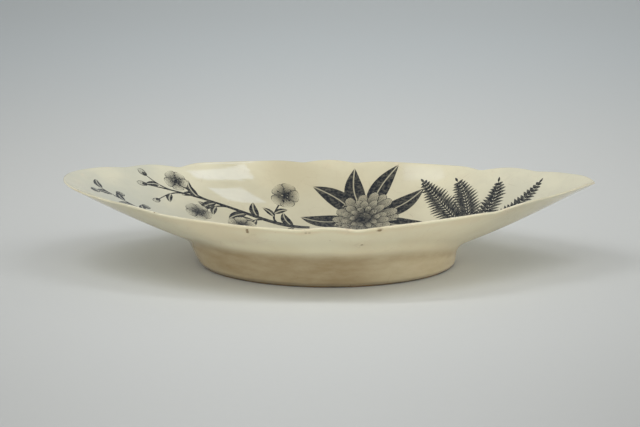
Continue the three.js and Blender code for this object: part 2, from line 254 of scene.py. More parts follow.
class DishColours(bpy.types.PropertyGroup):
    """Colours of the clay, the glaze and the print."""

    cream: colour("Cream", "Clear glaze over clean clay", (0.84, 0.79, 0.58))
    warm: colour("Warm", "Glaze where the clay has yellowed", (0.80, 0.70, 0.48))
    blush: colour("Blush", "Pinkish stains under the glaze", (0.76, 0.64, 0.47))
    tan: colour("Tan", "Tint of the wide faint stains", (0.9, 0.85, 0.77))
    cool: colour("Cool", "Greyish film inside the ends", (0.555, 0.56, 0.465))
    used: colour("Used", "Film of use on the inside", (0.575, 0.545, 0.4))
    # The foot's colour of stain of use, also in the crease, made darker as painted shade under the dish
    brown_stain_and_shade: colour("Brown", "Stain of use on the foot", (0.315, 0.238, 0.13))
    rust: colour("Rust", "Chips and specks that have taken dirt", (0.20, 0.12, 0.05))
    # Also darkened as a painted contact shadow along the standing edge
    wiped: colour("Wiped", "Bare standing edge, dark with use", (0.11, 0.092, 0.06))
    clay: colour("Clay", "Fired clay without glaze", (0.60, 0.52, 0.36))
    ink: colour("Ink", "Blue-black of the print", (0.010, 0.013, 0.018))


class DishStage(bpy.types.PropertyGroup):
    """Camera, lamps and floor."""

    distance: millimetres("Distance", "From the camera to the dish", 880)
    elevation: degrees("Elevation", "How far the camera looks down", 14)
    roll: degrees("Roll", "Tilt of the camera about its own axis", 0.14)
    target_height: millimetres("Target height", "Height on the dish's axis that the camera turns about", 20)
    aim_right: millimetres("Aim right", "How far right of the target the view's middle lies", -4.58)
    aim_up: millimetres("Aim up", "How far above the target the view's middle lies", 3.64)
    lens: number("Lens", "Focal length for a 36 mm sensor", 100.5)
    floor: colour("Floor", "Pale seamless paper", (0.71, 0.736, 0.74))
    # Cooler colour far behind the dish: painted cool light on the paper
    far_floor_cool_light: colour("Far floor", "The same paper far behind the dish", (0.74, 0.81, 0.86))
    haze: colour("Haze", "What is seen or mirrored past the edge of the paper", (0.42, 0.44, 0.45))
    lamp_height: millimetres("Lamp height", "Height of the lamps over the floor", 700)
    lamp_spread: millimetres("Lamp spread", "How far each side lamp hangs from the middle", 420)
    left_lamp: number("Left lamp", "Radiance of the left lamp", 10.0)
    right_lamp: number("Right lamp", "Radiance of the right lamp", 8.25)
    soft_box: number("Soft box", "Radiance of the soft box overhead", 1.0)
    glint: number("Glint", "Radiance of the strips that the glaze mirrors", 2.6)
    glint_tint: colour("Glint tint", "Colour of those strips", (0.6, 0.74, 1.0))
    side_glow: number("Side glow", "Radiance of the side walls", 1.82)
    right_glow: number("Right glow", "How much more the right wall glows", 0.15)
    front_glow: number("Front glow", "Radiance of the front wall", 1.82)
    room: colour("Room", "Tint of the light from the walls", (1.0, 0.978, 0.925))
    ceiling_glow: number("Ceiling glow", "Radiance of the ceiling", 0.26)


class DishSettings(bpy.types.PropertyGroup):
    """All settings of the dish."""

    size: PointerProperty(type=DishSize)
    colours: PointerProperty(type=DishColours)
    stage: PointerProperty(type=DishStage)


# Curves and vectors
def cubic(at, start, first, second, end):
    """Value of a cubic curve with four controls."""
    back = 1 - at
    return back**3 * start + 3 * back**2 * at * first + 3 * back * at**2 * second + at**3 * end


def between(start, end, at):
    return start + (end - start) * at


def smooth(value, low, high):
    """0 below low, 1 above high, and a soft rise between."""
    at = np.clip((value - low) / (high - low), 0, 1)
    return at * at * (3 - 2 * at)


def swell(value, middle, reach):
    """1 at the middle, falling softly to 0 at the reach on both sides of it."""
    return np.clip(1 - ((value - middle) / reach) ** 2, 0, 1) ** 2


def every_section(value):
    return np.broadcast_to(np.asarray(value, float), (SECTIONS,))


def distances(path):
    """How far along a path each of its points lies."""
    return np.concatenate([[0], np.cumsum(np.linalg.norm(np.diff(path, axis=0), axis=1))])


def plan_at(wanted, places, points):
    """Plan points at the wanted places, from points whose places rise."""
    return np.stack([np.interp(wanted, places, points[:, axis]) for axis in (0, 1)], axis=-1)


def units(vectors):
    return vectors / np.linalg.norm(vectors, axis=-1, keepdims=True)


def slow_waves(angle, waves, seed):
    """Sum of slow waves round the dish, within -1 and 1."""
    draw = np.random.default_rng(seed)
    total = np.zeros_like(angle)
    for wave in waves:
        total += np.sin(wave * angle + draw.uniform(0, 2 * math.pi)) / len(waves)
    return total


class DishLoft:
    """Rings of points on the clay of the dish, each with one point for every section round it."""

    def __init__(self, size):
        self.size = size
        end_lip = size.end_lip - 2 * size.glaze
        side_lip = size.side_lip - 2 * size.glaze
        self.floor_top = size.floor_height - size.glaze
        self.half_length = size.length / 2 - self.lip_inset(end_lip, size.end_slope)
        self.half_width = size.width / 2 - self.lip_inset(side_lip, size.side_slope)
        self.lay_out_lip()
        self.angle = np.arctan2(self.lip[:, 1] / self.half_width, self.lip[:, 0] / self.half_length)
        self.clay_lip = between(end_lip, side_lip, np.sin(self.angle) ** 2)
        self.cut_sections()
        aside = np.sin(self.angle) ** 2
        end_cove = np.where(np.cos(self.angle) > 0, size.narrow_cove, size.blunt_cove)
        drop = between(end_cove, size.side_cove, aside)
        reach = between(end_cove, size.side_cove_reach, aside)
        even = np.full(SECTIONS, size.inner_cove)
        self.outer = self.foot_wall(size.foot_lean, 0, drop, reach, 1)
        self.recess = self.foot_wall(-size.recess_lean, size.foot_band, even, even, -1)

    def lip_inset(self, clay_lip, slope):
        """How far the inner edge of the clay lip lies inside the finished edge."""
        return self.size.glaze + clay_lip / 2 * (1 + math.sin(slope))

    def lip_quarter(self, end, side):
        """Plan of a quarter of the lip, from its tip to the middle of its side."""
        size = self.size
        end_reach = size.narrow_end_reach if end > 0 else size.blunt_end_reach
        side_reach = size.narrow_side_reach if end > 0 else size.blunt_side_reach
        at = np.linspace(0, 1, PATH_SAMPLES)
        along = cubic(at, end * self.half_length, end * self.half_length, end * side_reach, 0)
        across = cubic(at, 0, side * end_reach, side * self.half_width, side * self.half_width)
        return np.column_stack([along, across])

    def lay_out_lip(self):
        """Spaces the sections evenly along the lip and finds how far its notches draw it back."""
        size = self.size
        quarters = [
            self.lip_quarter(1, 1),
            self.lip_quarter(-1, 1)[::-1],
            self.lip_quarter(-1, -1),
            self.lip_quarter(1, -1)[::-1],
        ]
        path = np.vstack([quarters[0]] + [quarter[1:] for quarter in quarters[1:]])
        arc = distances(path)
        perimeter = arc[-1]
        self.arc = np.arange(SECTIONS) / SECTIONS * perimeter
        self.lip = plan_at(self.arc, arc, path)
        notches = (
            (size.middle_lobe / 2, size.middle_notch, 1),
            (size.length / 2 - size.long_lobe_from_tip, size.long_notch, size.shallow_notch),
            (size.length / 2 - size.end_lobe_from_tip, size.end_notch, 1),
        )
        self.notch = np.zeros(SECTIONS)
        for quarter in range(4):
            first = quarter * (PATH_SAMPLES - 1)
            part = slice(first, first + PATH_SAMPLES)
            order = np.argsort(np.abs(path[part, 0]))
            blunt_front = quarter == 2
            for along, depth, worn in notches:
                place = np.interp(along, np.abs(path[part, 0])[order], arc[part][order])
                away = np.abs(self.arc - place)
                away = np.minimum(away, perimeter - away)
                rounded = np.hypot(away, size.notch_rounding) - size.notch_rounding
                rise = np.clip(1 - rounded / size.notch_reach, 0, 1)
                self.notch = np.maximum(self.notch, depth * (worn if blunt_front else 1) * rise**2)

    def cut_sections(self):
        """Works out the upright sections, from the floor's edge straight out to the lip."""
        size = self.size
        self.floor_edge = np.column_stack([
            size.floor_length / 2 * np.cos(self.angle),
            size.floor_width / 2 * np.sin(self.angle),
        ])
        outward = self.lip - self.floor_edge
        self.run = np.linalg.norm(outward, axis=1)
        self.outward = outward / self.run[:, None]
        self.slope = between(size.end_slope, size.side_slope, np.sin(self.angle) ** 2)
        along = self.lip[:, 0] / self.half_length
        height = between(size.side_height, size.end_height, np.abs(along) ** size.end_sweep)
        height += size.narrow_lobe_rise * swell(along, NARROW_LOBE, NARROW_LOBE_REACH)
        self.droop = size.narrow_tip_droop * np.clip((along - NARROW_TIP) / (1 - NARROW_TIP), 0, 1) ** 2
        near = self.lip[:, 1] < 0
        for place, reach, rise in NEAR_LIP_RISES:
            height += np.where(near, rise * MM * swell(self.lip[:, 0] / MM, place, reach), 0)
        height += size.lip_unevenness * slow_waves(self.angle, LIP_WAVES, HAND_SEED)
        self.top = height - size.glaze - self.clay_lip / 2 * (1 - np.cos(self.slope))

    def inside_at(self, station):
        """Points inside the dish. Station -1 is the floor's centre, 0 its edge and 1 the lip."""
        size = self.size
        station = every_section(station)
        at = np.clip(station, 0, 1)
        ease = self.run * size.lip_ease
        reach = cubic(at, 0, self.run * size.floor_ease, self.run - ease, self.run)
        height = cubic(at, self.floor_top, self.floor_top, self.top - ease * np.tan(self.slope), self.top)
        height = height - size.narrow_sag * np.maximum(0, np.cos(self.angle)) ** 2 * 4 * at * (1 - at)
        fade = np.clip((at - 1 + NOTCH_FADE) / NOTCH_FADE, 0, 1) ** 2
        reach = reach - self.notch * fade * np.cos(self.slope)
        height = height - (self.notch * np.sin(self.slope) + self.droop) * fade
        on_floor = 1 + np.clip(station, -1, 0)
        plan = self.floor_edge * on_floor[:, None] + self.outward * reach[:, None]
        return np.column_stack([plan, height])

    def inside_normal(self, station):
        """Upward normals of the inside face."""
        station = every_section(station)
        inner = np.maximum(station - STATION_STEP, STATION_STEP)
        outer = np.clip(station + STATION_STEP, 2 * STATION_STEP, 1)
        out = self.inside_at(outer) - self.inside_at(inner)
        ring = self.inside_at(np.maximum(station, STATION_STEP))
        normal = units(np.cross(out, np.roll(ring, -1, 0) - np.roll(ring, 1, 0)))
        normal[station <= 0] = (0, 0, 1)
        return normal

    def outside_at(self, station):
        """Points on the outer face: the clay thins steadily from the floor to the lip."""
        station = every_section(station)
        thickness = between(self.size.base, self.clay_lip, np.maximum(0, station))
        return self.inside_at(station) - self.inside_normal(station) * thickness[:, None]

    def lip_ring(self, turn):
        """Ring on the half-round lip, from the inside at no turn to the outside at half a turn."""
        inner = self.inside_at(1)
        middle = (inner + self.outside_at(1)) / 2
        spoke = inner - middle
        crown = np.column_stack([self.outward * np.cos(self.slope)[:, None], np.sin(self.slope)])
        crown *= np.linalg.norm(spoke, axis=1, keepdims=True)
        return middle + spoke * math.cos(turn) + crown * math.sin(turn)

    def foot_wall(self, lean, inset, cove, reach, away):
        """Rings on one wall of the foot. Away from its clay is outwards, 1, or inwards, -1."""
        size = self.size
        half = np.array([size.foot_length / 2 - inset, size.foot_width / 2 - inset])
        grow = math.tan(lean)
        tilt = np.array([math.tan(size.foot_tilt), 0])
        offset = np.array([size.foot_offset, 0])

        def oval(height):
            return half + grow * height[:, None]

        def middle_at(height):
            return offset + tilt * height[:, None]

        def crossing(proud):
            low = np.full(SECTIONS, -1.0)
            high = np.full(SECTIONS, 1.0)
            for _ in range(SOLVE_STEPS):
                middle = (low + high) / 2
                point = self.outside_at(middle)
                height = point[:, 2]
                spread = (point[:, :2] - middle_at(height)) / (oval(height) + proud[:, None])
                beyond = (spread**2).sum(axis=1) > 1
                high = np.where(beyond, middle, high)
                low = np.where(beyond, low, middle)
            return (low + high) / 2

        corner = self.outside_at(crossing(np.zeros(SECTIONS)))
        edge_station = crossing(away * reach)
        spoke = (corner[:, :2] - middle_at(corner[:, 2])) / oval(corner[:, 2])

        def on_wall(height, proud=0.0):
            height = every_section(height)
            plan = middle_at(height) + spoke * (oval(height) + proud)
            return np.column_stack([plan, height])

        seat_height = corner[:, 2] - size.slip
        cove_drop = np.minimum(cove, (seat_height - size.bare_edge) * COVE_LIMIT)
        turns = np.linspace(0, math.pi / 2, FOOT_RINGS)
        return SimpleNamespace(
            on_wall=on_wall,
            edge_station=edge_station,
            corner=corner,
            body_edge=self.outside_at(edge_station),
            seat=on_wall(seat_height),
            wall_edge=on_wall(seat_height - cove_drop),
            wall_edge_height=seat_height - cove_drop,
            rounding=[
                on_wall(
                    size.foot_rounding * (1 - math.sin(turn)),
                    -away * size.foot_rounding * (1 - math.cos(turn)),
                )
                for turn in turns
            ],
        )

    def cove_rings(self, wall):
        """Rings of the concave corner, from the body's edge down to the foot's wall, ends included."""
        rings = []
        for at in np.linspace(0, 1, COVE_RINGS):
            ring = (1 - at) ** 2 * wall.body_edge
            rings.append(ring + 2 * at * (1 - at) * wall.corner + at**2 * wall.wall_edge)
        return rings

    def rings_down(self, wall, lowest):
        """Rings from the cove's lower edge down the wall to a height."""
        shares = np.linspace(0, 1, FOOT_RINGS + 1)[1:]
        return [wall.on_wall(between(wall.wall_edge_height, lowest, at)) for at in shares]

    def inside_rings(self, wall_rings):
        """Rings of the inside, from the floor's centre to the lip, closest together at the lip."""
        floor = np.linspace(-1, 0, FLOOR_RINGS + 1)[1:-1]
        wall = np.sin(np.linspace(0, math.pi / 2, wall_rings))
        stations = np.concatenate([floor, between(np.linspace(0, 1, wall_rings), wall, 0.5)])
        centre = np.array([[0, 0, self.floor_top]])
        return [centre] + [self.inside_at(station) for station in stations], stations

    def lip_rings(self):
        return [self.lip_ring(turn) for turn in np.linspace(0, math.pi, LIP_RINGS + 1)[1:-1]]

    def flank_rings(self, count):
        """Rings of the outer face, from the lip in to the cove, without the cove's own edge."""
        shares = np.arange(count) / count
        return [self.outside_at(between(1, self.outer.edge_station, at)) for at in shares]

    def underside_rings(self):
        """Rings of the underside within the foot, from its centre to the cove."""
        shares = np.linspace(0, 1, UNDERSIDE_RINGS + 1)[1:-1]
        centre = np.array([[0, 0, self.floor_top - self.size.base]])
        return [centre] + [self.outside_at(between(-1, self.recess.edge_station, at)) for at in shares]


# Meshes
def skin(rings, loops=False):
    """Points and faces of a closed skin over rings. A ring of one point is a pole."""
    starts = np.cumsum([0] + [len(ring) for ring in rings])
    here = np.arange(max(len(ring) for ring in rings))
    after = np.roll(here, -1)
    faces = []
    for band in range(len(rings) if loops else len(rings) - 1):
        following = (band + 1) % len(rings)
        start, end = starts[band], starts[following]
        if len(rings[band]) == 1:
            faces += np.column_stack([start + 0 * here, end + here, end + after]).tolist()
        elif len(rings[following]) == 1:
            faces += np.column_stack([start + here, end + 0 * here, start + after]).tolist()
        else:
            faces += np.column_stack([start + here, end + here, end + after, start + after]).tolist()
    return np.vstack(rings), faces


def lifted(rings, thicknesses):
    """The same rings moved off along their normals, each by its own thickness."""
    moved = []
    for level, ring in enumerate(rings):
        thickness = thicknesses[level]
        if len(ring) == 1:
            moved.append(ring + np.array([[0, 0, thickness]]))
            continue
        along = rings[min(level + 1, len(rings) - 1)] - rings[max(level - 1, 0)]
        around = np.roll(ring, -1, 0) - np.roll(ring, 1, 0)
        moved.append(ring + units(np.cross(along, around)) * thickness)
    return moved


def mesh_piece(name, points, faces, material, marks=None, corner=None):
    """Makes a smooth mesh object. Marks are numbers at its points that its material reads."""
    mesh = bpy.data.meshes.new(name)
    mesh.from_pydata(points.tolist(), [], faces)
    if mesh.validate():
        raise RuntimeError(f"{name} has faulty faces")
    mesh.shade_smooth()
    if corner:
        mesh.set_sharp_from_angle(angle=corner)
    for mark, values in (marks or {}).items():
        attribute = mesh.attributes.new(mark, "FLOAT", "POINT")
        attribute.data.foreach_set("value", np.asarray(values, np.float32))
    mesh.materials.append(material)
    piece = bpy.data.objects.new(name, mesh)
    bpy.context.scene.collection.objects.link(piece)
    return piece


def ring_marks(rings, values):
    """Gives every point of a ring the ring's value, there and back over the two sides of a coat."""
    both = np.concatenate([values, values[::-1]])
    return np.concatenate([np.full(len(ring), value) for ring, value in zip(rings, both)])


# Materials
class Nodes:
    """A node tree, built up call by call."""

    def __init__(self, tree):
        self.tree = tree

    def node(self, kind, **settings):
        made = self.tree.nodes.new(kind)
        for setting, value in settings.items():
            setattr(made, setting, value)
        return made

    def join(self, socket, value):
        """Links a socket to another node's, or sets its value."""
        if isinstance(value, bpy.types.NodeSocket):
            self.tree.links.new(value, socket)
        elif socket.type == "RGBA" and len(value) == 3:
            socket.default_value = (*value, 1)
        else:
            socket.default_value = value

    def maths(self, operation, first, second=0.0, third=0.0):
        """Result of a sum with one to three numbers."""
        made = self.node("ShaderNodeMath", operation=operation)
        for socket, value in zip(made.inputs, (first, second, third)):
            self.join(socket, value)
        return made.outputs[0]

    def times(self, first, *others):
        """Product of numbers."""
        for other in others:
            first = self.maths("MULTIPLY", first, other)
        return first

    def step(self, value, low, high, bottom=0.0, top=1.0):
        """Soft step from bottom to top as the value goes from low to high."""
        made = self.node("ShaderNodeMapRange", interpolation_type="SMOOTHSTEP")
        self.join(made.inputs["Value"], value)
        for socket, limit in zip(("From Min", "From Max", "To Min", "To Max"), (low, high, bottom, top)):
            self.join(made.inputs[socket], limit)
        return made.outputs["Result"]

    def blend(self, amount, first, second, kind="MIX"):
        """Mix of two colours."""
        made = self.node("ShaderNodeMix", data_type="RGBA", blend_type=kind)
        self.join(made.inputs["Factor"], amount)
        colours = [socket for socket in made.inputs if socket.type == "RGBA"]
        self.join(colours[0], first)
        self.join(colours[1], second)
        return [socket for socket in made.outputs if socket.type == "RGBA"][0]


class Shader(Nodes):
    """A material with textures in the dish's own frame."""

    def __init__(self, name):
        self.material = bpy.data.materials.new(name)
        self.material.use_nodes = True
        super().__init__(self.material.node_tree)
        self.surface = self.tree.nodes["Principled BSDF"]
        self.place = self.node("ShaderNodeTexCoord").outputs["Object"]
        parts = self.node("ShaderNodeSeparateXYZ")
        self.join(parts.inputs[0], self.place)
        self.along, self.across, _ = parts.outputs

    def mark(self, name):
        return self.node("ShaderNodeAttribute", attribute_name=name).outputs["Fac"]

    def noise(self, size, detail=3.0, roughness=0.5, stretch=None):
        """Noise whose features are about one size across, in metres."""
        made = self.node("ShaderNodeTexNoise")
        place = self.place
        if stretch:
            mapping = self.node("ShaderNodeMapping")
            self.join(mapping.inputs["Vector"], place)
            mapping.inputs["Scale"].default_value = stretch
            place = mapping.outputs["Vector"]
        self.join(made.inputs["Vector"], place)
        self.join(made.inputs["Scale"], 1 / size)
        self.join(made.inputs["Detail"], detail)
        self.join(made.inputs["Roughness"], roughness)
        return made.outputs["Fac"]

    def cells(self, size, feature):
        """Cells of about one size across, in metres: distance and colour sockets."""
        made = self.node("ShaderNodeTexVoronoi", feature=feature)
        self.join(made.inputs["Vector"], self.place)
        self.join(made.inputs["Scale"], 1 / size)
        return made.outputs

    def near(self, place, radius, wander, core):
        """1 within the core of a ragged radius of a place, falling to 0 outside it."""
        made = self.node("ShaderNodeVectorMath", operation="DISTANCE")
        self.join(made.inputs[0], self.place)
        made.inputs[1].default_value = place
        ragged = self.maths("MULTIPLY_ADD", wander, radius, radius * 0.5)
        away = self.maths("DIVIDE", made.outputs["Value"], ragged)
        return self.step(away, 1.0, core)

    def finish(self, base, roughness, bumps, **sockets):
        """Joins colour, roughness and bumps to the surface. A bump is a height and its depth."""
        self.join(self.surface.inputs["Base Color"], base)
        self.join(self.surface.inputs["Roughness"], roughness)
        normal = None
        for height, depth in bumps:
            made = self.node("ShaderNodeBump")
            made.inputs["Distance"].default_value = depth
            self.join(made.inputs["Height"], height)
            if normal:
                self.join(made.inputs["Normal"], normal)
            normal = made.outputs["Normal"]
        if normal:
            self.join(self.surface.inputs["Normal"], normal)
        for socket, value in sockets.items():
            self.surface.inputs[socket.replace("_", " ")].default_value = value
        return self.material


def clay_finish(name, base, stain):
    """Fired clay without glaze: chalky, finely pitted and unevenly stained."""
    shader = Shader(name)
    cloud = shader.noise(9 * MM, 5.0, 0.6)
    grain = shader.noise(0.5 * MM, 3.0, 0.6)
    base = shader.blend(shader.step(cloud, 0.35, 0.7), base, stain)
    base = shader.blend(shader.step(grain, 0.55, 0.75, 0, 0.35), base, stain)
    roughness = shader.step(grain, 0.3, 0.7, 0.7, 0.9)
    return shader.finish(base, roughness, [(grain, 0.06 * MM)])


class DISH_OT_clay(bpy.types.Operator):
    """Make the clay: the moulded body, the foot ring and the slip between them"""

    bl_idname = "dish.clay"
    bl_label = "Make Clay"

    def execute(self, context):
        colours = context.scene.dish.colours
        size = context.scene.dish.size
        loft = DishLoft(size)
        outer, recess = loft.outer, loft.recess
        inside, _ = loft.inside_rings(CLAY_WALL_RINGS)
        body = [
            *inside, *loft.lip_rings(), *loft.flank_rings(CLAY_WALL_RINGS),
            outer.body_edge, outer.corner, recess.corner, recess.body_edge,
            *loft.underside_rings()[::-1],
        ]
        foot = [
            recess.wall_edge, recess.seat, outer.seat, outer.wall_edge,
            *loft.rings_down(outer, size.foot_rounding)[:-1], *outer.rounding,
            *recess.rounding[::-1], *loft.rings_down(recess, size.foot_rounding)[:-1][::-1],
        ]
        slip = [
            recess.body_edge, recess.corner, outer.corner, *loft.cove_rings(outer),
            outer.seat, recess.seat, *loft.cove_rings(recess)[:0:-1],
        ]
        biscuit = clay_finish("biscuit_clay", colours.clay, colours.warm)
        # The bare foot's dark colour is partly a painted contact shadow at the standing edge
        bare = clay_finish("bare_foot_clay", colours.wiped, colours.rust)
        luted = clay_finish("fired_slip", colours.clay, colours.blush)
        for name, rings, loops, finish, slot in (
            ("moulded_body", body, False, biscuit, "biscuit_body"),
            ("foot_ring", foot, True, bare, "bare_foot"),
            ("luting_slip", slip, True, luted, "slip"),
        ):
            piece = mesh_piece("fired_" + name, *skin(rings, loops), finish)
            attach(piece, "root")
            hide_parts(name)
        return {"FINISHED"}


# Chips and specks on the front: place along, across and up, and radius, in millimetres, and strength
FRONT_CHIPS = (
    (-37.3, -69.1, 32.5, 1.1, 0.9),
    (-37.3, -67.9, 31.6, 1.1, 0.95),
    (-37.3, -66.7, 30.6, 1.1, 0.9),
    (22.9, -71.2, 33.0, 1.4, 0.8),
    (22.9, -71.5, 33.1, 2.2, 0.25),
    (-10.6, -72.7, 32.0, 1.1, 0.4),
    (-9.0, -72.9, 32.0, 1.1, 0.4),
    (0.4, -66.8, 26.9, 0.8, 0.5),
    (15.1, -61.4, 23.5, 1.0, 0.8),
    (-35.3, -44.1, 9.3, 0.7, 0.5),
    (-80.7, -53.4, 37.2, 0.6, 0.6),
)
# Wide faint stains, in the same terms
HALOS = (
    (-35.0, -69.5, 32.5, 9.0, 0.6),
    (21.0, -71.5, 32.5, 8.0, 0.6),
    (-20.0, -56.0, 19.6, 14.0, 0.35),
    (-20.0, 64.0, 30.0, 27.0, 0.62),
    (12.0, 58.0, 25.0, 20.0, 0.3),
    (-12.0, -74.0, 35.0, 10.0, 0.4),
)


class GlazeShader(Shader):
    """Glossy clear glaze over cream clay that has yellowed unevenly."""

    def __init__(self, name, colours):
        super().__init__(name)
        self.cloud = self.noise(38 * MM, 4.0, 0.55)
        self.patch = self.noise(11 * MM, 4.0, 0.6)
        self.grain = self.noise(0.9 * MM, 3.0, 0.6)
        self.colours = colours

    def cream(self, inside):
        """Colour of the clay under the glaze. The inside, 1, is stained more than the outside, 0."""
        colours = self.colours
        base = self.blend(self.step(self.cloud, 0.4, 0.72, 0, 0.75), colours.cream, colours.warm)
        blush = self.times(self.step(self.patch, 0.5, 0.72, 0, 0.4), self.step(inside, 0, 1, 0.5, 1))
        base = self.blend(blush, base, colours.blush)
        cloudy = self.step(self.cloud, 0.3, 0.65, 0.55, 0.95)
        used = self.times(inside, cloudy, self.step(self.along, *FILM_FADE, *FILM_SHARES))
        ends = self.step(self.maths("ABSOLUTE", self.along), *COOL_FADE)
        base = self.blend(used, base, self.blend(ends, colours.used, colours.cool))
        return self.spots(base, HALOS, colours.tan, self.patch, 0.1, "MULTIPLY")

    def spots(self, base, places, colour_there, wander, core, kind="MIX"):
        """Colours places that are given like the front's chips."""
        for along, across, height, radius, strength in places:
            place = (along * MM, across * MM, height * MM)
            amount = self.times(self.near(place, radius * MM, wander, core), strength)
            base = self.blend(amount, base, colour_there, kind)
        return base

    def gloss(self, base, ior):
        """Finishes the material with the shine and the slight ripple of the glaze."""
        roughness = self.step(self.patch, 0.3, 0.75, 0.025, 0.055)
        bumps = [(self.cloud, 0.05 * MM), (self.patch, 0.012 * MM), (self.grain, 0.001 * MM)]
        return self.finish(base, roughness, bumps, IOR=ior)


def glaze_finish(name, colours, chips):
    """The glaze of the dish, stained by use, with painted shade on the foot, in the crease, under the lip
    and towards the tips, and with fine crazing.
    """
    shader = GlazeShader(name, colours)
    patch = shader.patch
    streak = shader.noise(5 * MM, 5.0, 0.65, stretch=(0.3, 0.3, 1.0))
    base = shader.cream(shader.mark("inside"))
    # Less darkening towards the narrow end: painted light on that end of the foot
    lit_end_thinning = shader.step(shader.along, *FOOT_DARKENING_THINNING, 1.0, FOOT_DARKENING_LEAST)
    for mark, amount, stain in (
        # a warmer tint under the lip, darkened as painted shade
        ("brim", shader.step(patch, 0.3, 0.65, 0.45, 0.95), colours.warm),
        # handling wear and painted shade towards both tips
        ("handled", shader.step(patch, 0.3, 0.7, 0.55, 0.8), colours.used),
        # stain of use and painted shade under the dish
        ("foot", shader.times(shader.step(streak, 0.25, 0.75, 0.8, 1.0), lit_end_thinning), colours.brown_stain_and_shade),
        # dirt and painted shade in the crease
        ("crease", shader.step(streak, 0.3, 0.7, 0.15, 0.4), colours.brown_stain_and_shade),
        ("lip", shader.step(patch, 0.56, 0.7, 0, 0.5), colours.blush),
    ):
        base = shader.blend(shader.times(shader.mark(mark), amount), base, stain)
    cracks = shader.cells(5.5 * MM, "DISTANCE_TO_EDGE")["Distance"]
    crazing = shader.times(shader.step(cracks, 0.02, 0.0), shader.step(patch, 0.45, 0.7, 0.02, 0.22))
    base = shader.blend(crazing, base, colours.rust)
    speck = shader.cells(7 * MM, "F1")
    chosen = shader.step(speck["Color"], 0.75, 0.8)
    dots = shader.times(shader.step(speck["Distance"], 0.05, 0.02), chosen, 0.55)
    base = shader.blend(dots, base, colours.rust)
    base = shader.spots(base, chips, colours.rust, shader.grain, 0.55)
    return shader.gloss(base, GLAZE_IOR)


